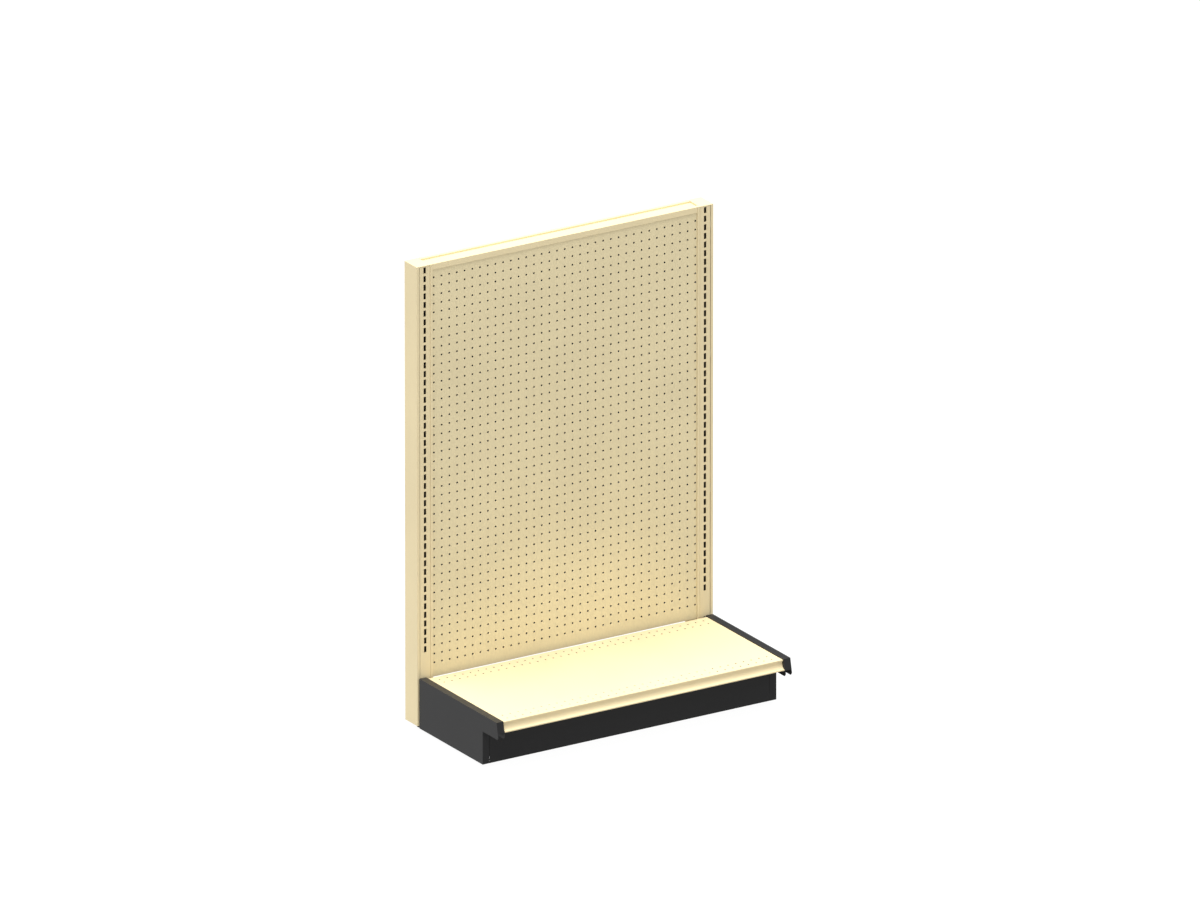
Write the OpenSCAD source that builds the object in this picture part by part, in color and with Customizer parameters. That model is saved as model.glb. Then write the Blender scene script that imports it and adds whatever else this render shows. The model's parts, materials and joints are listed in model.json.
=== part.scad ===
// Single-sided gondola shelving unit: slotted uprights, perforated back panel, base deck and kick plate.
// Origin: centre of the footprint on the floor. +Z up, the shopper stands on the -Y side.

/* [Unit] */
// Overall height above the floor
unit_h = 1371.6; // [1300:0.1:1450]
// Distance between the two upright centre lines
bay_w = 914.4; // [800:0.1:1000]
// Gap between the floor and the black base parts
base_gap = 11.2; // [10:0.1:14]

/* [Uprights] */
// Width of the slotted face
upright_w = 33.5; // [32:0.1:38]
// Depth over the lips and the end trims, front to back
upright_d = 64.7; // [60:0.1:76]
// Wall thickness of the tube
upright_wall = 1.6; // [1.5:0.1:2.5]
// Height of the tube's open lower end above the floor
upright_low = 16.5; // [16:0.1:18]
// Width of the folded lip that holds a panel
lip_w = 8.3; // [6:0.1:9]
// How far the lips and the trims stand proud of the slotted face
proud = 0.8; // [0.5:0.1:1.5]
// How far a lip reaches behind the slotted face
lip_back = 1.6; // [1.4:0.1:2]
// Width of the groove between a lip and the slotted face
groove_w = 1.1; // [0.8:0.1:1.4]
// Width of a slot
slot_w = 8; // [7:0.1:9]
// Height of a slot
slot_h = 18.2; // [15:0.1:20]
// Distance from slot to slot
slot_pitch = 25.4; // [25:0.1:26]
// Number of shelf slots in a column
slot_count = 45; // [40:1:46]
// Height of the middle of the lowest shelf slot
slot_low = 239.8; // [235:0.1:245]
// Number of base slots, which only the base bracket uses
base_slot_count = 3; // [2:1:3]
// Height of the middle of the lowest base slot
base_slot_low = 62; // [58:0.1:66]
// Thickness of the plate of an upright's cap
cap_t = 2; // [1.5:0.1:3]

/* [End trims] */
// Width of the trim outside the upright
trim_w = 9.4; // [8:0.1:10]
// Gap between the tube and the front edge of the trim
trim_gap = 1.4; // [0.8:0.1:1.8]
// Sheet thickness of the trim
trim_t = 1.2; // [1:0.1:1.5]

/* [Top] */
// Height of a top rail's front face
rail_face_h = 17; // [16:0.1:22]
// Depth of a top rail's upper face
rail_top_d = 11.7; // [10:0.1:13]
// Depth of the trough between the two top rails
trough_drop = 5; // [4:0.1:6]
// Sheet thickness of all rails
rail_t = 1.5; // [1.2:0.1:1.8]

/* [Panels] */
// Thickness of the perforated panel
peg_t = 6.3; // [5.5:0.1:6.5]
// Thickness of the plain rear panel
rear_t = 5; // [4:0.1:6]
// Gap between a lip and the panel behind it
panel_set = 0.8; // [0.4:0.1:1]
// Height of the lower edge of both panels
panel_low = 152.3; // [151:0.1:158]
// Diameter of a peg hole
peg_hole_d = 5.6; // [5:0.1:6.5]
// Hole columns
peg_cols = 35; // [3:1:35]
// Hole rows in the lower panel
peg_rows_lower = 23; // [2:1:23]
// Hole rows in the upper panel
peg_rows_upper = 22; // [2:1:22]
// Distance from column to column
peg_pitch_x = 25.08; // [25:0.01:25.1]
// Distance from row to row
peg_pitch_z = 25.84; // [25:0.01:25.9]
// Height of the lowest hole row
peg_row_low = 194.1; // [190:0.1:200]

/* [Base deck] */
// Height of the deck's upper face
deck_top = 156.2; // [156:0.1:157]
// Width of the deck
deck_w = 912.4; // [911:0.1:912.6]
// Gap between the deck's rear edge and the slotted face
deck_rear_gap = 12; // [8:0.1:14]
// Distance from the slotted face to the deck's upper front edge
deck_reach = 409; // [405:0.1:411]
// Height of the price channel
channel_h = 28; // [26:0.1:32]
// How far the channel's lower lip stands ahead of its upper edge
channel_lean = 8.8; // [6:0.1:10]
// Depth of the channel's hollow
channel_sag = 7.6; // [5:0.1:8]
// Sheet thickness of the deck
deck_t = 1.2; // [1:0.1:1.5]
// Height of the deck's turned-down flanges
deck_flange = 24; // [18:0.1:28]
// Diameter of a deck hole
deck_hole_d = 5; // [3:0.1:6]
// Columns of deck holes
deck_cols = 35; // [3:1:35]
// Distance between deck holes
deck_pitch = 25.4; // [25:0.1:25.4]
// Distance from the slotted face to the first hole row
deck_row_rear = 33; // [30:0.1:36]
// Distance from the slotted face to the foremost hole row
deck_row_front = 388.6; // [385:0.1:391]

/* [Base end covers and kick plate] */
// Height of the cover's top
cover_top = 158.5; // [158:0.1:160]
// Width of a cover
cover_w = 22.5; // [20:0.1:23]
// Wall thickness of a cover
cover_wall = 2.4; // [2:0.1:3]
// Gap between a cover's rear edge and the slotted face
cover_rear_gap = 5; // [4:0.1:8]
// Distance from the slotted face to the tip of the nose
nose_reach = 419.2; // [418:0.1:425]
// How far the nose's top edge stands behind its tip
nose_slant = 9.1; // [6:0.1:10]
// Height of the lower edges of the nose's side walls
nose_low = 109.2; // [105:0.1:112]
// Height of the lower edge of the nose's front wall
nose_face_low = 125.7; // [122:0.1:130]
// Distance from the slotted face to the kick plate
kick_reach = 337.5; // [335:0.1:345]
// Sheet thickness of the kick plate
kick_t = 1.2; // [1:0.1:1.5]
// Height of the kick plate's upper edge
kick_top = 121; // [118:0.1:122]
// Depth of the kick plate's turned-back edges
kick_return = 14; // [12:0.1:16]

/* [Base brackets] */
// Plate thickness of a bracket
bracket_t = 2.5; // [2:0.1:2.6]
// Height of the bracket's lower edge
bracket_low = 26; // [25:0.1:28]
// Width of the bracket's foot flange
bracket_flange = 30; // [28:0.1:32]
// Height of the arm that carries the deck's front
arm_h = 32; // [30:0.1:33]

/* [Levelling feet] */
// Diameter of a foot pad
pad_d = 22; // [20:0.1:24]
// Thickness of a foot pad
pad_t = 5; // [4:0.1:6]
// Diameter of a foot's stem
stem_d = 9.8; // [9.7:0.05:9.85]
// Length of a foot's stem above its hexagon
stem_len = 46; // [44:0.1:50]
// Height of the hexagon above the pad
hex_h = 4.5; // [4:0.1:5]
// Distance across the flats of the hexagons and nuts
hex_flats = 16; // [15:0.1:17]
// Thickness of a nut
nut_t = 6; // [5:0.1:8]

/* [Hidden] */

// Colours
cream = [0.90, 0.85, 0.70];
cream_board = [0.86, 0.80, 0.64];
white_cream = [0.97, 0.94, 0.84];
black_plastic = [0.16, 0.16, 0.16];
black_steel = [0.12, 0.12, 0.12];
zinc = [0.62, 0.63, 0.64];

// Roundness of large and small circles
round_fn = 32;
hole_fn = 20;
// Reach of a cutter past the face it cuts
over = 1;

// Places along Y, from the depth of the whole unit
unit_d = upright_d - proud + nose_reach;
back_y = unit_d / 2;
front_y = back_y - upright_d;
face_y = front_y + proud;
rear_face_y = back_y - proud;
kick_y = face_y - kick_reach;
nose_y = face_y - nose_reach;

// Places along X, measured on the right side
upright_x = bay_w / 2;
tube_in_x = upright_x - upright_w / 2;
tube_out_x = upright_x + upright_w / 2;
lip_x = tube_in_x - lip_w;
trim_x = tube_out_x + trim_w;

// Loose fit between separate pieces
gap = 0.4;
// Height of the deck's underside, where the bracket carries it
deck_under = deck_top - deck_t;
// The deck rests this close to the bracket
rest_gap = 0.1;

// Screws
screw_r = 2.4;
screw_hole_r = 2.7;
screw_head_r = 4.6;
screw_head_t = 2.4;

// Right-hand pieces are drawn on +X; side = -1 gives the left one
module on_side(side) {
  mirror([side < 0 ? 1 : 0, 0, 0])
    children();
}

// A box from its low corner to its high corner
module span(low, high) {
  translate(low)
    cube(high - low);
}

// A rod along X from x0 to x1
module rod_x(r, x0, x1) {
  translate([x0, 0, 0])
    rotate([0, 90, 0])
      cylinder(r = r, h = x1 - x0, $fn = round_fn);
}

// A hexagonal block whose corners point along X
module hex_block(flats, h) {
  cylinder(d = flats / cos(30), h = h, $fn = 6);
}

// ---- Uprights ----

rail_screw_ys = [face_y + 21.5, face_y + 37];
cap_under = unit_h - cap_t;
lip_web = 0.8;

// A lip beside the front of the tube: a flat hem, and a web across the groove to the tube
module lip_hem() {
  translate([lip_x, front_y])
    square([lip_w - groove_w, proud + lip_back]);
  translate([lip_x, face_y + lip_back - lip_web])
    square([lip_w + over, lip_web]);
}

module upright_section() {
  difference() {
    translate([tube_in_x, face_y])
      square([upright_w, rear_face_y - face_y]);
    translate([tube_in_x + upright_wall, face_y + upright_wall])
      square([upright_w - 2 * upright_wall, rear_face_y - face_y - 2 * upright_wall]);
  }
  lip_hem();
  translate([0, front_y + back_y])
    mirror([0, 1])
      lip_hem();
}

// One slot, cut from y0 to y1
module slot_cut(z, y0, y1) {
  span([upright_x - slot_w / 2, y0, z - slot_h / 2], [upright_x + slot_w / 2, y1, z + slot_h / 2]);
}

module upright(side) {
  color(cream)
    on_side(side)
      difference() {
        translate([0, 0, upright_low])
          linear_extrude(cap_under - upright_low)
            upright_section();
        for (k = [0 : slot_count - 1]) {
          slot_cut(slot_low + k * slot_pitch, face_y - over, face_y + upright_wall + over);
          slot_cut(slot_low + k * slot_pitch, rear_face_y - upright_wall - over, rear_face_y + over);
        }
        for (k = [0 : base_slot_count - 1])
          slot_cut(base_slot_low + k * slot_pitch, face_y - over, face_y + upright_wall + over);
        for (z = rail_screw_zs)
          for (y = rail_screw_ys)
            translate([0, y, z])
              rod_x(screw_hole_r, tube_in_x - over, tube_in_x + upright_wall + over);
      }
}

// A cap: a plate over the tube, its lips and the trim, and a plug that is notched beside the slots
plug_h = 12;
plug_wall = 2;
module upright_cap(side) {
  inner_x0 = tube_in_x + upright_wall + gap;
  inner_x1 = tube_out_x - upright_wall - gap;
  inner_y0 = face_y + upright_wall + gap;
  inner_y1 = rear_face_y - upright_wall - gap;
  color(cream)
    on_side(side) {
      span([tube_in_x, front_y, cap_under], [trim_x, back_y, unit_h]);
      span([lip_x, front_y, cap_under], [tube_in_x + over, face_y + lip_back, unit_h]);
      span([lip_x, rear_face_y - lip_back, cap_under], [tube_in_x + over, back_y, unit_h]);
      difference() {
        span([inner_x0, inner_y0, cap_under - plug_h], [inner_x1, inner_y1, cap_under]);
        span(
          [inner_x0 + plug_wall, inner_y0 + plug_wall, cap_under - plug_h - over],
          [inner_x1 - plug_wall, inner_y1 - plug_wall, cap_under]
        );
        span(
          [upright_x - slot_w, inner_y0 - over, cap_under - plug_h - over],
          [upright_x + slot_w, inner_y1 + over, cap_under - plug_wall]
        );
      }
    }
}

// ---- End trims: a shallow channel over the outer side of each upright ----

module end_trim(side) {
  color(cream)
    on_side(side)
      translate([0, 0, upright_low])
        linear_extrude(cap_under - upright_low)
          difference() {
            translate([tube_out_x + trim_gap, front_y])
              square([trim_w - trim_gap, upright_d]);
            translate([tube_out_x, front_y + trim_t])
              square([trim_w - trim_t, upright_d - 2 * trim_t]);
          }
}

// Clips fixed to the upright that grip the trim from inside
clip_zs = [120, 520, 920, 1300];
clip_h = 22;
clip_t = 1;
module trim_clips() {
  clip_y0 = front_y + trim_t + gap;
  clip_y1 = back_y - trim_t - gap;
  clip_x1 = trim_x - trim_t;
  color(zinc)
    for (side = [-1, 1])
      for (z = clip_zs)
        on_side(side)
          difference() {
            span([tube_out_x, clip_y0, z], [clip_x1, clip_y1, z + clip_h]);
            span(
              [tube_out_x + clip_t, clip_y0 + clip_t, z - over],
              [clip_x1 - clip_t, clip_y1 - clip_t, z + clip_h + over]
            );
          }
}

// ---- Top rails, cover and the rails between the panels ----

rail_x = tube_in_x - gap;
peg_y0 = face_y + lip_back + panel_set;
peg_y1 = peg_y0 + peg_t;
rear_y1 = rear_face_y - lip_back - panel_set;
rear_y0 = rear_y1 - rear_t;
panel_high = unit_h - rail_t - 1.5;
trough_z = unit_h - trough_drop;
trough_y0 = face_y + rail_top_d;
trough_y1 = rear_face_y - rail_top_d;
centre_z = 760;
centre_h = 40;
bottom_z = 60;
bottom_h = 50;
top_end_drop = 26;
rail_screw_zs = [bottom_z + bottom_h / 2, centre_z + centre_h / 2, trough_z - top_end_drop / 2];

// The rail along the top: a face over the panel, an upper face and a wall down to the trough;
// its ends are notched to clear the lips
module top_rail() {
  difference() {
    translate([-rail_x, 0, 0])
      rotate([90, 0, 90])
        linear_extrude(2 * rail_x)
          difference() {
            translate([face_y, unit_h - rail_face_h])
              square([rail_top_d, rail_face_h]);
            translate([face_y + rail_t, unit_h - rail_face_h - over])
              square([rail_top_d - 2 * rail_t, rail_face_h - rail_t + over]);
          }
    for (side = [-1, 1])
      on_side(side)
        span(
          [lip_x - gap, face_y - over, unit_h - rail_face_h - over],
          [rail_x + over, face_y + lip_back + gap, unit_h + over]
        );
  }
}

module front_top_rail() {
  color(cream)
    top_rail();
}

module rear_top_rail() {
  color(cream)
    translate([0, face_y + rear_face_y, 0])
      mirror([0, 1, 0])
        top_rail();
}

// An open channel with end plates that are screwed to the uprights
module channel_rail(y0, y1, z0, z1) {
  difference() {
    span([-rail_x, y0, z0], [rail_x, y1, z1]);
    span([-rail_x + rail_t, y0 + rail_t, z0 - over], [rail_x - rail_t, y1 - rail_t, z1 - rail_t]);
    for (side = [-1, 1])
      on_side(side)
        for (y = rail_screw_ys)
          translate([0, y, (z0 + z1) / 2])
            rod_x(screw_hole_r, rail_x - rail_t - over, rail_x + over);
  }
}

module top_cover() {
  color(cream)
    channel_rail(trough_y0 + 0.1, trough_y1 - 0.1, trough_z - top_end_drop, trough_z);
}

module centre_rail() {
  color(cream)
    channel_rail(peg_y1 + gap, rear_y0 - gap, centre_z, centre_z + centre_h);
}

module bottom_rail() {
  color(cream)
    channel_rail(peg_y0, rear_y1, bottom_z, bottom_z + bottom_h);
}

module rail_screws() {
  shaft_x0 = rail_x - rail_t - 0.2;
  shaft_x1 = tube_in_x + upright_wall + 6;
  color(zinc)
    for (side = [-1, 1])
      on_side(side)
        for (z = rail_screw_zs)
          for (y = rail_screw_ys)
            translate([0, y, z]) {
              rod_x(screw_r, shaft_x0, shaft_x1);
              rod_x(screw_head_r, shaft_x0 - screw_head_t, shaft_x0);
            }
}

// ---- Panels ----

panel_x = tube_in_x - gap;
panel_seam = peg_row_low + (peg_rows_lower - 0.5) * peg_pitch_z;

// A perforated board from z0 to z1 whose lowest hole row is at row_z
module peg_board(z0, z1, row_z, rows) {
  color(cream_board)
    translate([0, peg_y1, 0])
      rotate([90, 0, 0])
        linear_extrude(peg_t)
          difference() {
            translate([-panel_x, z0])
              square([2 * panel_x, z1 - z0]);
            for (i = [0 : peg_cols - 1])
              for (j = [0 : rows - 1])
                translate([(i - (peg_cols - 1) / 2) * peg_pitch_x, row_z + j * peg_pitch_z])
                  circle(d = peg_hole_d, $fn = hole_fn);
          }
}

// The two boards meet halfway between two rows, in front of the centre rail
module peg_panel_lower() {
  peg_board(panel_low, panel_seam, peg_row_low, peg_rows_lower);
}

module peg_panel_upper() {
  peg_board(panel_seam, panel_high, panel_seam + peg_pitch_z / 2, peg_rows_upper);
}

module rear_panel() {
  color(cream_board)
    span([-panel_x, rear_y0, panel_low], [panel_x, rear_y1, panel_high]);
}

// Small angles on the uprights that both panels stand on
rest_w = 6;
rest_h = 14;
rest_t = 1.5;
module panel_rest_clips() {
  color(zinc)
    for (side = [-1, 1])
      on_side(side)
        for (y = [[peg_y0, peg_y1 + 1], [rear_y0 - 1, rear_y1]])
          difference() {
            span([tube_in_x - rest_w, y[0], panel_low - rest_h], [tube_in_x, y[1], panel_low]);
            span(
              [tube_in_x - rest_w - over, y[0] - over, panel_low - rest_h - over],
              [tube_in_x - rest_t, y[1] + over, panel_low - rest_t]
            );
          }
}

// ---- Base brackets ----

bracket_x0 = upright_x - slot_w / 2 + 1;
bracket_x1 = bracket_x0 + bracket_t;
flange_x = bracket_x0 - bracket_flange;
bracket_rear = face_y - 0.3;
bracket_front = kick_y + kick_return - 2;
arm_front = face_y - deck_reach + 10;
bracket_high = deck_under - rest_gap;
hook_w = 7;
hook_drop = 5;
foot_x = flange_x + 13;
front_foot_y = kick_y + 52;
rear_foot_x = upright_x - 5;
rear_foot_y = (face_y + rear_face_y) / 2;
cover_screw_ys = [kick_y + 30, face_y - 40];
cover_screw_z = 75;

// Outline of the plate, drawn as (Y, Z)
module bracket_outline() {
  arm_low = bracket_high - arm_h;
  arm_tip = 16;
  polygon([
    [bracket_rear, bracket_low],
    [bracket_front, bracket_low],
    [bracket_front, arm_low],
    [arm_front, bracket_high - arm_tip],
    [arm_front, bracket_high],
    [bracket_rear, bracket_high]
  ]);
  for (k = [0 : base_slot_count - 1])
    translate([0, base_slot_low + k * slot_pitch]) {
      translate([bracket_rear - over, -slot_h / 2 + hook_drop + 0.5])
        square([upright_wall + 0.6 + over + 0.3, slot_h - hook_drop - 1]);
      translate([face_y + upright_wall + 0.3, -slot_h / 2])
        square([hook_w - upright_wall, slot_h - 0.5]);
    }
}

// The slot in the front flange that takes a kick plate clip
tongue_w = 10;
tongue_t = 1.2;
tongue_z = 78;
tongue_x = flange_x + 11;

module base_bracket(side) {
  color(black_steel)
    on_side(side)
      difference() {
        union() {
          translate([bracket_x0, 0, 0])
            rotate([90, 0, 90])
              linear_extrude(bracket_t)
                bracket_outline();
          span([flange_x, bracket_front, bracket_low], [bracket_x1, front_y - over, bracket_low + bracket_t]);
          span([flange_x, bracket_front, bracket_low], [bracket_x1, bracket_front + bracket_t, 100]);
        }
        translate([foot_x, front_foot_y, bracket_low - over])
          cylinder(r = 6, h = bracket_t + 2 * over, $fn = round_fn);
        span(
          [tongue_x - tongue_w / 2 - 0.5, bracket_front - over, tongue_z - 3],
          [tongue_x + tongue_w / 2 + 0.5, bracket_front + bracket_t + over, tongue_z + 3]
        );
        for (y = cover_screw_ys)
          translate([0, y, cover_screw_z])
            rod_x(screw_hole_r, bracket_x0 - over, bracket_x1 + over);
      }
}

stem_bore_r = stem_d / 2 + 0.08;

module bracket_weld_nuts() {
  color(zinc)
    for (side = [-1, 1])
      on_side(side)
        translate([foot_x, front_foot_y, bracket_low + bracket_t])
          difference() {
            hex_block(hex_flats, nut_t);
            translate([0, 0, -over])
              cylinder(r = stem_bore_r, h = nut_t + 2 * over, $fn = round_fn);
          }
}

// Threaded plates welded across the lower end of each upright
nut_plate_z = bracket_low;
module upright_nut_plates() {
  color(zinc)
    for (side = [-1, 1])
      on_side(side)
        difference() {
          span(
            [tube_in_x + upright_wall, face_y + upright_wall, nut_plate_z],
            [tube_out_x - upright_wall, rear_face_y - upright_wall, nut_plate_z + nut_t]
          );
          translate([rear_foot_x, rear_foot_y, nut_plate_z - over])
            cylinder(r = stem_bore_r, h = nut_t + 2 * over, $fn = round_fn);
        }
}

// ---- Base end covers ----

cover_x0 = upright_x + 0.3;
cover_x1 = cover_x0 + cover_w;
cover_rear = face_y - cover_rear_gap;

// The front of the nose leans back above this height; below it the side walls are bevelled
nose_tip_z = nose_low + 7;
nose_bevel = 5;

// Outline of a cover seen from its side, drawn as (Y, Z)
module cover_outline() {
  polygon([
    [cover_rear, base_gap],
    [kick_y, base_gap],
    [kick_y, nose_low],
    [nose_y + nose_bevel, nose_low],
    [nose_y, nose_tip_z],
    [nose_y + nose_slant, cover_top],
    [cover_rear, cover_top]
  ]);
}

// The hollow: open underneath, at the rear and in front below the nose's front wall
module cover_hollow() {
  slant = nose_slant / (cover_top - nose_tip_z);
  inner_y = nose_y + cover_wall;
  inner_top = cover_top - cover_wall;
  polygon([
    [cover_rear + over, base_gap - over],
    [kick_y + cover_wall, base_gap - over],
    [kick_y + cover_wall, nose_low - over],
    [nose_y - over, nose_low - over],
    [nose_y - over, nose_face_low],
    [inner_y + slant * (nose_face_low - nose_tip_z), nose_face_low],
    [inner_y + slant * (inner_top - nose_tip_z), inner_top],
    [cover_rear + over, inner_top]
  ]);
}

module base_end_cover(side) {
  color(black_plastic)
    on_side(side)
      difference() {
        translate([cover_x0, 0, 0])
          rotate([90, 0, 90])
            linear_extrude(cover_w)
              cover_outline();
        translate([cover_x0 + cover_wall, 0, 0])
          rotate([90, 0, 90])
            linear_extrude(cover_w - 2 * cover_wall)
              cover_hollow();
        for (y = cover_screw_ys)
          translate([0, y, cover_screw_z])
            rod_x(screw_hole_r, cover_x0 - over, cover_x0 + cover_wall + over);
      }
}

module cover_screws() {
  head_x = bracket_x0 - 0.2;
  color(zinc)
    for (side = [-1, 1])
      on_side(side)
        for (y = cover_screw_ys)
          translate([0, y, cover_screw_z]) {
            rod_x(screw_r, head_x, cover_x0 + cover_wall + 6);
            rod_x(screw_head_r, head_x - screw_head_t, head_x);
          }
}

// ---- Base deck ----

deck_x = deck_w / 2;
deck_y0 = face_y - deck_reach;
deck_y1 = face_y - deck_rear_gap;
flange_out_x = bracket_x0 - 1.6;

// The channel's chord runs from the deck's front edge to its lower lip; its hollow is a round arc
chord = norm([channel_lean, channel_h]);
arc_r = (chord * chord / 4 + channel_sag * channel_sag) / (2 * channel_sag);
arc_half = asin(chord / 2 / arc_r);
chord_mid = [deck_y0 - channel_lean / 2, deck_top - channel_h / 2];
chord_turn = -atan2(channel_lean, channel_h);
arc_steps = 16;

// Points of an arc of radius r about the hollow's centre, from the lower lip up
function channel_arc(r) = [
  for (k = [0 : arc_steps])
    let (a = (2 * k / arc_steps - 1) * arc_half)
      let (u = r * cos(a) - arc_r * cos(arc_half), v = r * sin(a))
        chord_mid + [u * cos(chord_turn) - v * sin(chord_turn), u * sin(chord_turn) + v * cos(chord_turn)]
];

function flip(list) = [for (k = [len(list) - 1 : -1 : 0]) list[k]];

// Section of the deck's sheet across X, drawn as (Y, Z)
hem = 3.2;
module deck_section() {
  // upper sheet and rear flange
  translate([deck_y0, deck_under])
    square([deck_y1 - deck_y0, deck_t]);
  translate([deck_y1 - deck_t, deck_top - deck_flange])
    square([deck_t, deck_flange]);
  // the hollow of the price channel, cut off level with the upper sheet
  difference() {
    polygon(concat(channel_arc(arc_r), flip(channel_arc(arc_r + deck_t))));
    translate([deck_y0 - over, deck_top])
      square([4 * deck_t, 2 * deck_t]);
  }
  // lower lip, turned back under the channel
  translate([deck_y0 - channel_lean, deck_top - channel_h - deck_t])
    square([14, deck_t]);
  translate([deck_y0 - channel_lean, deck_top - channel_h - deck_t])
    square([deck_t + 0.4, hem]);
  // a stiffening strip behind the upper edge
  translate([deck_y0, deck_top - hem])
    square([deck_t + 1.6, hem]);
}

module deck() {
  color(white_cream)
    difference() {
      union() {
        translate([-deck_x, 0, 0])
          rotate([90, 0, 90])
            linear_extrude(deck_w)
              deck_section();
        for (side = [-1, 1])
          on_side(side)
            span(
              [flange_out_x - deck_t, deck_y0 + 22, deck_top - deck_flange],
              [flange_out_x, deck_y1, deck_top]
            );
      }
      // the rear flange stays clear of the brackets
      for (side = [-1, 1])
        on_side(side)
          span(
            [flange_out_x, deck_y1 - deck_t - over, deck_top - deck_flange - over],
            [deck_x + over, deck_y1 + over, deck_under]
          );
      for (i = [0 : deck_cols - 1])
        for (row = [deck_row_rear, deck_row_rear + deck_pitch, deck_row_front - deck_pitch, deck_row_front])
          translate([(i - (deck_cols - 1) / 2) * deck_pitch, face_y - row, deck_under - over])
            cylinder(d = deck_hole_d, h = deck_t + 2 * over, $fn = hole_fn);
    }
}

// Hat channels under the deck, between its side flanges
hat_h = 22;
hat_w = 50;
hat_t = 1.2;
hat_brim = 12;
module deck_stiffener(y) {
  hat_x = flange_out_x - deck_t - gap;
  color(cream)
    translate([-hat_x, y, deck_under - hat_h])
      rotate([90, 0, 90])
        linear_extrude(2 * hat_x) {
          difference() {
            translate([-hat_w / 2, 0])
              square([hat_w, hat_h]);
            translate([-hat_w / 2 + hat_t, hat_t])
              square([hat_w - 2 * hat_t, hat_h]);
          }
          for (s = [-1, 1])
            translate([s * (hat_w / 2 + hat_brim / 2) - hat_brim / 2, hat_h - hat_t])
              square([hat_brim, hat_t]);
        }
}

module deck_stiffener_front() {
  deck_stiffener(face_y - 270);
}

module deck_stiffener_rear() {
  deck_stiffener(face_y - 130);
}

// ---- Kick plate ----

kick_x = cover_x0 - 0.7;

module kick_plate() {
  color(black_steel)
    translate([-kick_x, 0, 0])
      rotate([90, 0, 90])
        linear_extrude(2 * kick_x) {
          translate([kick_y, base_gap])
            square([kick_t, kick_top - base_gap]);
          translate([kick_y, kick_top - kick_t])
            square([kick_return - 3, kick_t]);
          translate([kick_y, base_gap])
            square([kick_return - 3, kick_t]);
        }
}

// Spring tongues on the back of the kick plate that enter the bracket's front flanges
module kick_clips() {
  foot_h = 24;
  tongue_end = bracket_front + bracket_t + 12;
  color(zinc)
    for (side = [-1, 1])
      on_side(side) {
        span(
          [tongue_x - tongue_w / 2, kick_y + kick_t, tongue_z - foot_h / 2],
          [tongue_x + tongue_w / 2, kick_y + 2 * kick_t, tongue_z + foot_h / 2]
        );
        span(
          [tongue_x - tongue_w / 2, kick_y + kick_t, tongue_z - tongue_t / 2],
          [tongue_x + tongue_w / 2, tongue_end, tongue_z + tongue_t / 2]
        );
        translate([tongue_x, tongue_end - 4, tongue_z])
          rotate([45, 0, 0])
            cube([tongue_w, 3, 3], center = true);
      }
}

// ---- Levelling feet ----

// Places of the front and rear foot on the right side
front_foot = [foot_x, front_foot_y];
rear_foot = [rear_foot_x, rear_foot_y];

module lock_nut(place, z) {
  translate([place[0], place[1], z])
    difference() {
      hex_block(hex_flats, nut_t);
      translate([0, 0, -over])
        cylinder(r = stem_bore_r, h = nut_t + 2 * over, $fn = round_fn);
    }
}

module lock_nuts() {
  color(zinc)
    for (side = [-1, 1])
      on_side(side) {
        lock_nut(front_foot, bracket_low + bracket_t + nut_t + 0.1);
        lock_nut(rear_foot, nut_plate_z + nut_t + 0.1);
      }
}

// A pad: a disc with a sloping shoulder and a pocket for the stem's ball end
pocket_r = 4.2;
module foot_pad(side, place) {
  shoulder_r = 8.5;
  color(black_plastic)
    on_side(side)
      translate([place[0], place[1], 0])
        rotate_extrude($fn = 48)
          polygon([
            [0, 0],
            [pad_d / 2, 0],
            [pad_d / 2, pad_t / 2],
            [shoulder_r, pad_t],
            [pocket_r, pad_t],
            [pocket_r, pad_t / 2],
            [0, pad_t / 2]
          ]);
}

// A stem: a pin in the pad's pocket, a hexagon for the spanner and the threaded rod
module foot_stem(side, place) {
  tip_h = pad_t / 2 - 0.1;
  color(zinc)
    on_side(side)
      translate([place[0], place[1], pad_t / 2 + 0.1]) {
        cylinder(r = pocket_r - 0.08, h = tip_h + 0.2, $fn = round_fn);
        translate([0, 0, tip_h + 0.2])
          hex_block(hex_flats, hex_h);
        translate([0, 0, tip_h + 0.2 + hex_h])
          cylinder(d = stem_d, h = stem_len, $fn = round_fn);
      }
}

// ---- Drawing ----

upright(-1);  // upright_left
upright(1);  // upright_right
upright_cap(-1);  // upright_cap_left
upright_cap(1);  // upright_cap_right
end_trim(-1);  // end_trim_left
end_trim(1);  // end_trim_right
trim_clips();
front_top_rail();
rear_top_rail();
top_cover();
centre_rail();
bottom_rail();
rail_screws();
peg_panel_lower();
peg_panel_upper();
rear_panel();
panel_rest_clips();
base_bracket(-1);  // base_bracket_left
base_bracket(1);  // base_bracket_right
bracket_weld_nuts();
base_end_cover(-1);  // base_end_cover_left
base_end_cover(1);  // base_end_cover_right
cover_screws();
deck();
deck_stiffener_front();
deck_stiffener_rear();
kick_plate();
kick_clips();
upright_nut_plates();
lock_nuts();
foot_pad(-1, front_foot);  // foot_pad_front_left
foot_pad(1, front_foot);  // foot_pad_front_right
foot_pad(-1, rear_foot);  // foot_pad_rear_left
foot_pad(1, rear_foot);  // foot_pad_rear_right
foot_stem(-1, front_foot);  // foot_stem_front_left
foot_stem(1, front_foot);  // foot_stem_front_right
foot_stem(-1, rear_foot);  // foot_stem_rear_left
foot_stem(1, rear_foot);  // foot_stem_rear_right
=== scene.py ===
"""Looks for the gondola shelving unit: painted steel, perforated hardboard and black moulded base parts."""

import json
import math

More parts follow.
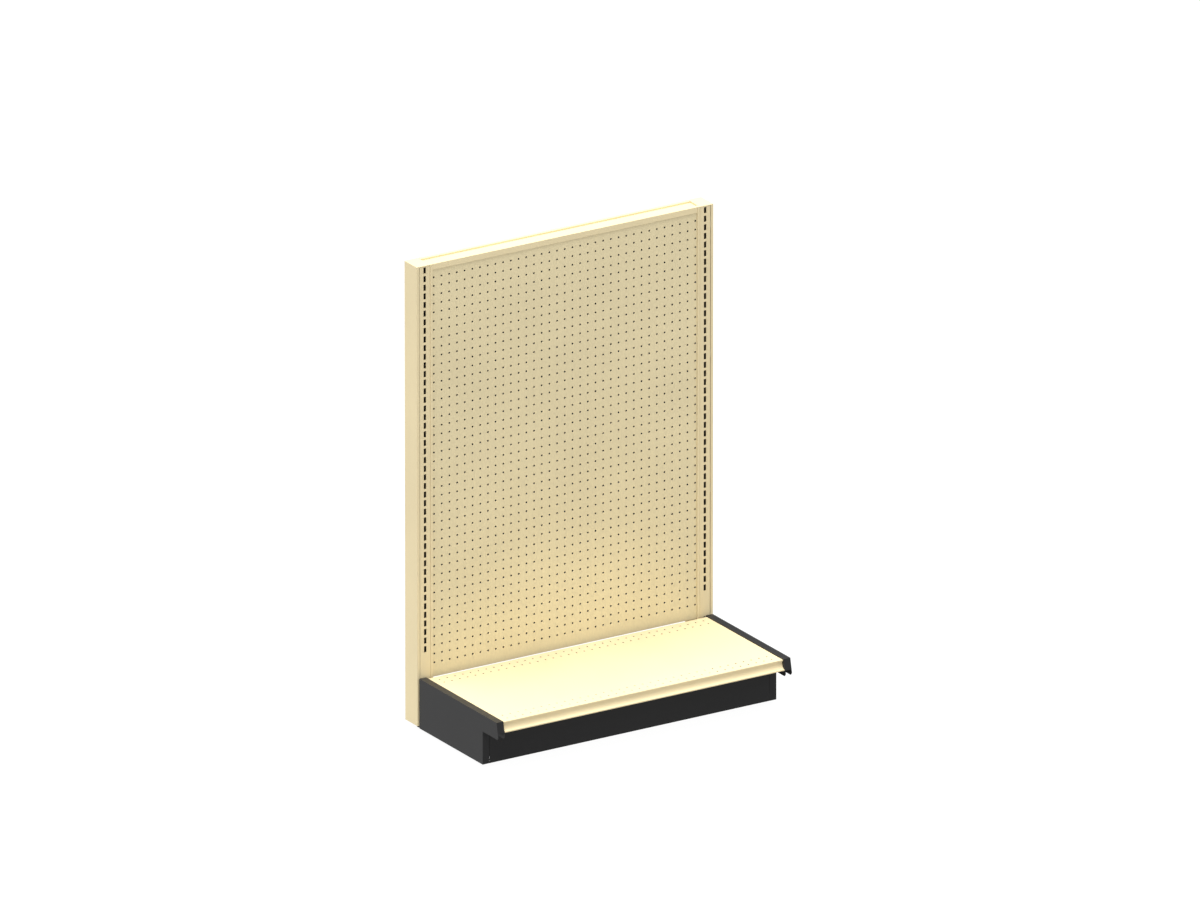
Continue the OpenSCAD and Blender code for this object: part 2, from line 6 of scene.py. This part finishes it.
import bmesh
import bpy
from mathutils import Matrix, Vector


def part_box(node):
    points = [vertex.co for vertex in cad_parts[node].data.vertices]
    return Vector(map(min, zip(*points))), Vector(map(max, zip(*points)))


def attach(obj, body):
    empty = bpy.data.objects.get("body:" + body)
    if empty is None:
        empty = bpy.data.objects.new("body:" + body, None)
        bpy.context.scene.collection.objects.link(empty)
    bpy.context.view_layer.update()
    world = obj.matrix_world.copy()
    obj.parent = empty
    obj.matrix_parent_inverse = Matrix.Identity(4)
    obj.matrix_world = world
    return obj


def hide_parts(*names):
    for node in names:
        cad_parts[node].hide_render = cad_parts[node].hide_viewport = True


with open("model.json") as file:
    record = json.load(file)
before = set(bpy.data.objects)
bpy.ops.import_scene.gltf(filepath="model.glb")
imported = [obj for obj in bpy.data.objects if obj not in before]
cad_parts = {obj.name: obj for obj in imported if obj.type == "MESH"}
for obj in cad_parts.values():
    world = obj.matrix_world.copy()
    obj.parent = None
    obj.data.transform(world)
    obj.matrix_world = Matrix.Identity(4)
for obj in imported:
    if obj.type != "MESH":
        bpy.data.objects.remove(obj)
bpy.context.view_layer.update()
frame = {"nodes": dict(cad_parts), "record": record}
nodes = frame["nodes"]
record = frame["record"]
bodies = record["behaviour"]["bodies"]
body_of_node = {node: body for body, members in bodies.items() for node in members}

MM = 0.001
INCH = 25.4 * MM


# ---------------------------------------------------------------- node helpers


def new_material(name):
    """A material with only a Principled shader and its output; returns (material, tree, shader)."""
    mat = bpy.data.materials.new(name)
    mat.use_nodes = True
    tree = mat.node_tree
    shader = next(n for n in tree.nodes if n.type == "BSDF_PRINCIPLED")
    return mat, tree, shader


def add(tree, kind, **settings):
    """A shader node with attributes set; keys that name an input socket set its value instead."""
    node = tree.nodes.new(kind)
    for key, value in settings.items():
        if hasattr(node, key):
            setattr(node, key, value)
        else:
            node.inputs[key.replace("_", " ")].default_value = value
    return node


def object_noise(tree, scale, detail=3.0, roughness=0.55, stretch=(1, 1, 1)):
    """Noise in object space, which is the CAD frame in metres."""
    coord = add(tree, "ShaderNodeTexCoord")
    mapping = add(tree, "ShaderNodeMapping")
    mapping.inputs["Scale"].default_value = stretch
    noise = add(tree, "ShaderNodeTexNoise", Scale=scale, Detail=detail, Roughness=roughness)
    tree.links.new(coord.outputs["Object"], mapping.inputs["Vector"])
    tree.links.new(mapping.outputs["Vector"], noise.inputs["Vector"])
    return noise


def ramp(tree, source, low, high, at=(0.35, 0.65)):
    """A two-stop ramp of a texture's factor, from low to high."""
    node = add(tree, "ShaderNodeValToRGB")
    first, last = node.color_ramp.elements
    first.position, last.position = at
    first.color, last.color = (*low, 1), (*high, 1)
    tree.links.new(source, node.inputs["Fac"])
    return node


def grey(value):
    return (value, value, value)


def shade(colour, factor):
    return tuple(min(1.0, c * factor) for c in colour)


def stack_bumps(tree, shader, layers):
    """Bumps one over another: layers are (height output, strength, distance in metres)."""
    last = None
    for height, strength, distance in layers:
        bump = add(tree, "ShaderNodeBump", Strength=strength, Distance=distance)
        tree.links.new(height, bump.inputs["Height"])
        if last:
            tree.links.new(last.outputs["Normal"], bump.inputs["Normal"])
        last = bump
    tree.links.new(last.outputs["Normal"], shader.inputs["Normal"])


def drifting_finish(tree, shader, colour, scale, detail, tones, roughness):
    """Faint drifts of tone and gloss over the surface; returns the colour's output."""
    drift = object_noise(tree, scale, detail=detail)
    tone = ramp(tree, drift.outputs["Fac"], shade(colour, tones[0]), shade(colour, tones[1]))
    gloss = ramp(tree, drift.outputs["Fac"], grey(roughness[0]), grey(roughness[1]))
    tree.links.new(gloss.outputs["Color"], shader.inputs["Roughness"])
    return tone.outputs["Color"]


def multiplied(tree, first, second):
    """One colour darkened by another."""
    mix = add(tree, "ShaderNodeMix", data_type="RGBA", blend_type="MULTIPLY")
    mix.inputs["Factor"].default_value = 1.0
    tree.links.new(first, mix.inputs["A"])
    tree.links.new(second, mix.inputs["B"])
    return mix.outputs["Result"]


# ------------------------------------------------------------------- materials

CREAM = (0.78, 0.66, 0.405)
CREAM_BOARD = (0.75, 0.647, 0.401)
# bare hardboard drawn near black and bluish, which also paints the shade inside the peg holes
RAW_BOARD_AND_HOLE_SHADE = (0.040, 0.045, 0.060)
# painted shade: a near-black colour for the inside of the upright tubes
TUBE_INSIDE_SHADE = (0.055, 0.050, 0.042)
# painted shade: a dark orange-brown for the walls of the deck's holes
DECK_HOLE_SHADE = (0.13, 0.065, 0.03)
BLACK_MOULDED = (0.020, 0.020, 0.0205)
BLACK_COAT = (0.019, 0.019, 0.0195)
ZINC = (0.58, 0.59, 0.60)
NYLON = (0.03, 0.03, 0.03)

# how far the tone drifts, as factors of a material's colour
PAINT_TONES = (0.965, 1.02)
MOULDED_TONES = (0.92, 1.06)
ZINC_TONES = (0.86, 1.08)
FIBRE_TONES = (0.7, 1.3)

# scales of the textures, per metre
COAT_SPECK = 900.0
COAT_PEEL = 330.0
MOULDED_GRAIN = 620.0


def powder_coat(name, colour, roughness):
    """Powder coat on steel: orange peel, a finer speckle and faint drifts of tone and gloss."""
    mat, tree, shader = new_material(name)
    gloss = (roughness - 0.04, roughness + 0.05)
    tone = drifting_finish(tree, shader, colour, 3.1, 4, PAINT_TONES, gloss)
    speck = object_noise(tree, COAT_SPECK, detail=1, roughness=0.4)
    speckle = ramp(tree, speck.outputs["Fac"], grey(0.955), grey(1.0), at=(0.3, 0.6))
    tree.links.new(multiplied(tree, tone, speckle.outputs["Color"]), shader.inputs["Base Color"])
    orange_peel = object_noise(tree, COAT_PEEL, detail=2)
    stack_bumps(
        tree,
        shader,
        [(orange_peel.outputs["Fac"], 0.16, 0.0002), (speck.outputs["Fac"], 0.06, 0.0001)],
    )
    return mat


def moulded(name, colour, roughness):
    """Black moulded plastic: a leathery grain and slightly polished drifts."""
    mat, tree, shader = new_material(name)
    gloss = (roughness - 0.03, roughness + 0.05)
    tone = drifting_finish(tree, shader, colour, 6.0, 4, MOULDED_TONES, gloss)
    tree.links.new(tone, shader.inputs["Base Color"])
    coord = add(tree, "ShaderNodeTexCoord")
    grain = add(
        tree, "ShaderNodeTexVoronoi", feature="SMOOTH_F1", Scale=MOULDED_GRAIN, Smoothness=0.6
    )
    tree.links.new(coord.outputs["Object"], grain.inputs["Vector"])
    ripple = object_noise(tree, 60.0, detail=2)
    stack_bumps(
        tree,
        shader,
        [(grain.outputs["Distance"], 0.22, 0.0003), (ripple.outputs["Fac"], 0.05, 0.0004)],
    )
    return mat


def painted_board(name, colour):
    """Painted hardboard face: roller stipple over a fibrous ground."""
    mat, tree, shader = new_material(name)
    tone = drifting_finish(tree, shader, colour, 2.6, 5, PAINT_TONES, (0.46, 0.56))
    fibre = object_noise(tree, 240.0, detail=3, roughness=0.6, stretch=(1, 1, 0.35))
    mottle = ramp(tree, fibre.outputs["Fac"], grey(0.93), grey(1.0), at=(0.3, 0.62))
    tree.links.new(multiplied(tree, tone, mottle.outputs["Color"]), shader.inputs["Base Color"])
    stipple = object_noise(tree, 420.0, detail=2)
    stack_bumps(
        tree,
        shader,
        [(stipple.outputs["Fac"], 0.12, 0.0002), (fibre.outputs["Fac"], 0.05, 0.0002)],
    )
    return mat


def dark_shade_surface(name, colour):
    """A dull dark surface that paints shade: near-black hardboard in the peg holes, near black inside the
    tubes and dark orange-brown on the deck's hole walls.
    """
    mat, tree, shader = new_material(name)
    fibre = object_noise(tree, 900.0, detail=3, stretch=(1, 0.3, 1))
    tone = ramp(tree, fibre.outputs["Fac"], *(shade(colour, factor) for factor in FIBRE_TONES))
    tree.links.new(tone.outputs["Color"], shader.inputs["Base Color"])
    shader.inputs["Roughness"].default_value = 0.9
    stack_bumps(tree, shader, [(fibre.outputs["Fac"], 0.3, 0.0003)])
    return mat


def zinc_plate(name, colour):
    """Zinc plated steel: a metal with cloudy patches and fine rolling lines."""
    mat, tree, shader = new_material(name)
    shader.inputs["Metallic"].default_value = 1.0
    tone = drifting_finish(tree, shader, colour, 45.0, 4, ZINC_TONES, (0.28, 0.42))
    tree.links.new(tone, shader.inputs["Base Color"])
    lines = object_noise(tree, 500.0, detail=2, stretch=(1, 1, 0.1))
    stack_bumps(tree, shader, [(lines.outputs["Fac"], 0.08, 0.0001)])
    return mat


board_face = painted_board("painted_hardboard", CREAM_BOARD)
# bare hardboard that also paints the shade in the peg holes and on the board's edges
raw_board_and_hole_shade_material = dark_shade_surface("bare_hardboard_and_hole_shade", RAW_BOARD_AND_HOLE_SHADE)
# painted shade inside the tubes
tube_shade_material = dark_shade_surface("painted_shade_inside_tubes", TUBE_INSIDE_SHADE)
# painted shade on the deck's hole walls
deck_hole_shade_material = dark_shade_surface("deck_hole_shade_material", DECK_HOLE_SHADE)

MATERIAL_OF_SLOT = {
    "cream_steel": powder_coat("cream_powder_coat", CREAM, 0.42),
    "cream_board": board_face,
    "black_plastic": moulded("black_moulded_plastic", BLACK_MOULDED, 0.40),
    "black_steel": powder_coat("black_powder_coat", BLACK_COAT, 0.38),
    "zinc_steel": zinc_plate("zinc_plate", ZINC),
    "pad_nylon": moulded("black_nylon", NYLON, 0.5),
}

slot_of_node = {part["node"]: part["material_slot"] for part in record["subparts"]}

for node_name, node_object in nodes.items():
    node_object.data.materials.clear()
    node_object.data.materials.append(MATERIAL_OF_SLOT[slot_of_node[node_name]])

SHADE_SLOT = 1  # the material slot of the painted shade: inside the tubes, on the deck's hole walls, and in the peg holes' bores and on the board's edges (bare hardboard drawn near black)

WALL = 1.6 * MM
PROUD = 0.8 * MM
TUBE_IN_X = 440.45 * MM
TUBE_OUT_X = 473.95 * MM
BEHIND_WALL = PROUD + WALL * 0.75

# painted shade: the faces inside the tubes take a near-black colour, so that the slots look dark
for upright_name in ("upright_left", "upright_right"):
    upright = nodes[upright_name]
    upright.data.materials.append(tube_shade_material)
    tube_low, tube_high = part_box(upright_name)
    for face in upright.data.polygons:
        centre = upright.matrix_world @ face.center
        inside_x = TUBE_IN_X + WALL / 2 < abs(centre.x) < TUBE_OUT_X - WALL / 2
        inside_y = tube_low.y + BEHIND_WALL < centre.y < tube_high.y - BEHIND_WALL
        if inside_x and inside_y:
            face.material_index = SHADE_SLOT

DECK_SHEET = 1.2 * MM
DECK_BORDER = 12.0 * MM
HOLE_WALL_NORMAL_Z = 0.5

# painted shade: the walls of the deck's holes take a dark orange-brown, so that the holes look dark
deck = nodes["deck"]
deck.data.materials.append(deck_hole_shade_material)
deck_low, deck_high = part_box("deck")
for face in deck.data.polygons:
    centre = deck.matrix_world @ face.center
    in_sheet = deck_high.z - DECK_SHEET < centre.z < deck_high.z
    in_x = deck_low.x + DECK_BORDER < centre.x < deck_high.x - DECK_BORDER
    in_y = deck_low.y + DECK_BORDER < centre.y < deck_high.y - DECK_BORDER
    if in_sheet and in_x and in_y and abs(face.normal.z) < HOLE_WALL_NORMAL_Z:
        face.material_index = SHADE_SLOT


# --------------------------------------------------------------- rounded edges


WELD_DISTANCE = 1e-5
FLAT_ANGLE = math.radians(1)
EDGE_ANGLE = math.radians(35)
EDGE_SEGMENTS = 2


def round_edges(node_name, width):
    """Breaks the sharp edges of a CAD node: weld the triangles' shared corners, flatten and bevel."""
    node_object = nodes[node_name]
    weld = node_object.modifiers.new("weld", "WELD")
    weld.merge_threshold = WELD_DISTANCE
    flat = node_object.modifiers.new("flat", "DECIMATE")
    flat.decimate_type = "DISSOLVE"
    flat.angle_limit = FLAT_ANGLE
    bevel = node_object.modifiers.new("bevel", "BEVEL")
    bevel.width = width
    bevel.segments = EDGE_SEGMENTS
    bevel.limit_method = "ANGLE"
    bevel.angle_limit = EDGE_ANGLE
    bevel.use_clamp_overlap = True
    bevel.harden_normals = True


EDGES = (  # the width of the broken edges in mm, then the nodes that have them
    (0.2, "upright_left", "upright_right"),
    (0.25, "deck"),
    (0.3, "base_bracket_left", "base_bracket_right"),
    (0.4, "top_cover", "centre_rail", "bottom_rail", "rear_panel", "kick_plate"),
    (0.4, "foot_pad_front_left", "foot_pad_front_right"),
    (0.4, "foot_pad_rear_left", "foot_pad_rear_right"),
    (0.45, "end_trim_left", "end_trim_right"),
    (0.5, "upright_cap_left", "upright_cap_right", "front_top_rail", "rear_top_rail"),
    (0.9, "base_end_cover_left", "base_end_cover_right"),
)
for width_mm, *edged_nodes in EDGES:
    for edged_node in edged_nodes:
        round_edges(edged_node, width_mm * MM)


# ------------------------------------------------------------ perforated panel

HOLE_SIDES = 24
HOLE_R = 2.8 * MM
HOLE_RIM = 0.3 * MM
HOLE_COLUMNS = 35
HOLE_PITCH_X = 25.08 * MM
HOLE_PITCH_Z = 25.84 * MM
LOWEST_ROW_UP = 41.8 * MM  # above the lower board's lower edge
ROWS_LOWER = 23
ROWS_UPPER = 22
BORE = 2  # the ring of faces that is the hole's bore
SAME_POINT = 1e-6


def border_point(angle, centre, low_corner, high_corner):
    """Where a ray from the hole's centre, spread to the cell's shape, meets the cell's border."""
    c, s = math.cos(angle), math.sin(angle)
    reach = 1 / max(abs(c), abs(s))
    across = (high_corner[0] - centre[0]) if c > 0 else (centre[0] - low_corner[0])
    up = (high_corner[1] - centre[1]) if s > 0 else (centre[1] - low_corner[1])
    return (centre[0] + across * c * reach, centre[1] + up * s * reach)


def perforated_panel(name, node_name, lowest_row_z, rows):
    """The board as one cell to a hole: painted faces, a slightly broken rim and a bore of bare hardboard
    drawn near black, which paints the shade in the hole.
    """
    low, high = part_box(node_name)
    angles = [2 * math.pi * k / HOLE_SIDES for k in range(HOLE_SIDES)]
    columns_x = [(i - (HOLE_COLUMNS - 1) / 2) * HOLE_PITCH_X for i in range(HOLE_COLUMNS)]
    rows_z = [lowest_row_z + j * HOLE_PITCH_Z for j in range(rows)]
    edges_x = [low.x] + [x + HOLE_PITCH_X / 2 for x in columns_x[:-1]] + [high.x]
    edges_z = [low.z] + [z + HOLE_PITCH_Z / 2 for z in rows_z[:-1]] + [high.z]
    rings = [  # radius (None for the cell's border) and Y, from the front border to the rear border
        (None, low.y),
        (HOLE_R + HOLE_RIM, low.y),
        (HOLE_R, low.y + HOLE_RIM),
        (HOLE_R, high.y - HOLE_RIM),
        (HOLE_R + HOLE_RIM, high.y),
        (None, high.y),
    ]
    points, faces, slots = [], [], []
    for i, cx in enumerate(columns_x):
        for j, cz in enumerate(rows_z):
            first = len(points)
            cell_low, cell_high = (edges_x[i], edges_z[j]), (edges_x[i + 1], edges_z[j + 1])
            for radius, y in rings:
                for a in angles:
                    if radius is None:
                        x, z = border_point(a, (cx, cz), cell_low, cell_high)
                    else:
                        x, z = cx + radius * math.cos(a), cz + radius * math.sin(a)
                    points.append((x, y, z))
            for r in range(len(rings) - 1):
                for k in range(HOLE_SIDES):
                    k2 = (k + 1) % HOLE_SIDES
                    a0, a1 = first + r * HOLE_SIDES + k, first + r * HOLE_SIDES + k2
                    faces.append((a0, a1, a1 + HOLE_SIDES, a0 + HOLE_SIDES))
                    # the bore takes the near-black colour that paints the shade in the hole
                    slots.append(SHADE_SLOT if r == BORE else 0)
            on_edge = {
                "left": i == 0,
                "right": i == HOLE_COLUMNS - 1,
                "low": j == 0,
                "high": j == rows - 1,
            }
            last = first + (len(rings) - 1) * HOLE_SIDES
            for k, a in enumerate(angles):
                middle = a + math.pi / HOLE_SIDES
                c, s = math.cos(middle), math.sin(middle)
                side = ("right" if c > 0 else "left") if abs(c) > abs(s) else ("high" if s > 0 else "low")
                if on_edge[side]:
                    k2 = (k + 1) % HOLE_SIDES
                    # the board's outer edges also take the near-black colour of the bores
                    faces.append((first + k2, first + k, last + k, last + k2))
                    slots.append(SHADE_SLOT)
    mesh = bpy.data.meshes.new(name)
    mesh.from_pydata(points, [], faces)
    mesh.materials.append(board_face)
    mesh.materials.append(raw_board_and_hole_shade_material)
    mesh.polygons.foreach_set("material_index", slots)
    work = bmesh.new()
    work.from_mesh(mesh)
    bmesh.ops.remove_doubles(work, verts=work.verts, dist=SAME_POINT)
    bmesh.ops.recalc_face_normals(work, faces=work.faces)
    for face in work.faces:
        face.smooth = face.material_index == SHADE_SLOT and abs(face.normal.y) < 0.5
    work.to_mesh(mesh)
    work.free()
    panel = bpy.data.objects.new(name, mesh)
    bpy.context.scene.collection.objects.link(panel)
    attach(panel, body_of_node[node_name])
    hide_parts(node_name)
    return panel


lower_low, lower_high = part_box("peg_panel_lower")
perforated_panel("perforated_board_lower", "peg_panel_lower", lower_low.z + LOWEST_ROW_UP, ROWS_LOWER)
perforated_panel("perforated_board_upper", "peg_panel_upper", lower_high.z + HOLE_PITCH_Z / 2, ROWS_UPPER)


# ------------------------------------------------------------- floor and light


FLOOR_REACH = 30.0
FLOOR_ALBEDO = 0.06
FLOOR_WHITE = 0.97  # what the camera sees
FLOOR_LIGHT = 0.50  # what the object receives
WORLD_LIGHT = (0.97, 1.02)  # from the front to the back
WORLD_GLOSS = (0.60, 0.20)  # from the left to the right
GLOSS_SPAN = (-0.6, 0.6)


def lit_floor():
    """A pale floor under soft light: it glows white, so that only a faint shadow lies on it."""
    reach = FLOOR_REACH
    corners = [(-reach, -reach, 0), (reach, -reach, 0), (reach, reach, 0), (-reach, reach, 0)]
    mesh = bpy.data.meshes.new("floor")
    mesh.from_pydata(corners, [], [(0, 1, 2, 3)])
    floor = bpy.data.objects.new("floor", mesh)
    bpy.context.scene.collection.objects.link(floor)
    mat, tree, shader = new_material("pale_floor")
    shader.inputs["Base Color"].default_value = (*grey(FLOOR_ALBEDO), 1)
    shader.inputs["Roughness"].default_value = 1.0
    shader.inputs["Specular IOR Level"].default_value = 0.0
    shader.inputs["Emission Color"].default_value = (1, 1, 1, 1)
    path = add(tree, "ShaderNodeLightPath")
    glow = add(tree, "ShaderNodeMapRange")
    glow.inputs["To Min"].default_value = FLOOR_LIGHT
    glow.inputs["To Max"].default_value = FLOOR_WHITE
    tree.links.new(path.outputs["Is Camera Ray"], glow.inputs["Value"])
    tree.links.new(glow.outputs["Result"], shader.inputs["Emission Strength"])
    mesh.materials.append(mat)
    floor.visible_glossy = False


def spread(tree, value, source_range, result_range):
    """A value spread linearly from one range to another."""
    node = add(tree, "ShaderNodeMapRange")
    node.inputs["From Min"].default_value, node.inputs["From Max"].default_value = source_range
    node.inputs["To Min"].default_value, node.inputs["To Max"].default_value = result_range
    tree.links.new(value, node.inputs["Value"])
    return node.outputs["Result"]


def choose(tree, factor, off, on):
    """One value where the factor is 0, the other where it is 1."""
    node = add(tree, "ShaderNodeMix", data_type="FLOAT")
    tree.links.new(factor, node.inputs["Factor"])
    for value, socket in ((off, node.inputs["A"]), (on, node.inputs["B"])):
        if isinstance(value, float):
            socket.default_value = value
        else:
            tree.links.new(value, socket)
    return node.outputs["Result"]


def studio_world():
    """White surroundings; a soft box on the left is what the gloss shows."""
    world = bpy.data.worlds.new("studio")
    bpy.context.scene.world = world
    world.use_nodes = True
    tree = world.node_tree
    background = next(n for n in tree.nodes if n.type == "BACKGROUND")
    background.inputs["Color"].default_value = (1, 1, 1, 1)
    coord = add(tree, "ShaderNodeTexCoord")
    axes = add(tree, "ShaderNodeSeparateXYZ")
    tree.links.new(coord.outputs["Generated"], axes.inputs["Vector"])
    path = add(tree, "ShaderNodeLightPath")
    light = spread(tree, axes.outputs["Y"], (-1.0, 1.0), WORLD_LIGHT)
    gloss = spread(tree, axes.outputs["X"], GLOSS_SPAN, WORLD_GLOSS)
    unseen = choose(tree, path.outputs["Is Glossy Ray"], light, gloss)
    strength = choose(tree, path.outputs["Is Camera Ray"], unseen, 1.0)
    tree.links.new(strength, background.inputs["Strength"])


def soft_sun(name, strength, spread_deg, tilt_deg):
    """A broad sun overhead that leans towards -X by the tilt."""
    lamp = bpy.data.lights.new(name, "SUN")
    lamp.energy = strength
    lamp.angle = math.radians(spread_deg)
    sun = bpy.data.objects.new(name, lamp)
    bpy.context.scene.collection.objects.link(sun)
    come_from = Vector((-math.tan(math.radians(tilt_deg)), 0.0, 1.0))
    sun.rotation_mode = "QUATERNION"
    sun.rotation_quaternion = come_from.to_track_quat("Z", "Y")


lit_floor()
studio_world()
soft_sun("overhead_light", strength=4.35, spread_deg=50.0, tilt_deg=9.5)


# ---------------------------------------------------------------------- camera


def product_camera(azimuth_deg, elevation_deg, width_m, aim, lens):
    """A long lens far away, so that the picture is close to a parallel projection."""
    data = bpy.data.cameras.new("camera")
    data.lens = lens
    distance = width_m * lens / data.sensor_width
    data.clip_start = 1.0
    data.clip_end = 2 * distance
    camera = bpy.data.objects.new("camera", data)
    bpy.context.scene.collection.objects.link(camera)
    a, e = math.radians(azimuth_deg), math.radians(elevation_deg)
    back = Vector((math.sin(a) * math.cos(e), -math.cos(a) * math.cos(e), math.sin(e)))
    camera.location = aim + back * distance
    camera.rotation_mode = "QUATERNION"
    camera.rotation_quaternion = (-back).to_track_quat("-Z", "Y")
    bpy.context.scene.camera = camera


PICTURE_WIDTH = 131.0 * INCH
AIM_RIGHT = 4.465 * INCH
AIM_UP = 27.748 * INCH  # above the foot of the end covers

slot_face_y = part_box("upright_left")[0].y + PROUD
cover_foot_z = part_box("base_end_cover_left")[0].z
product_camera(
    azimuth_deg=-32.0,
    elevation_deg=20.46,
    width_m=PICTURE_WIDTH,
    aim=Vector((AIM_RIGHT, slot_face_y, cover_foot_z + AIM_UP)),
    lens=1200.0,
)
bpy.context.scene.view_settings.view_transform = "Standard"
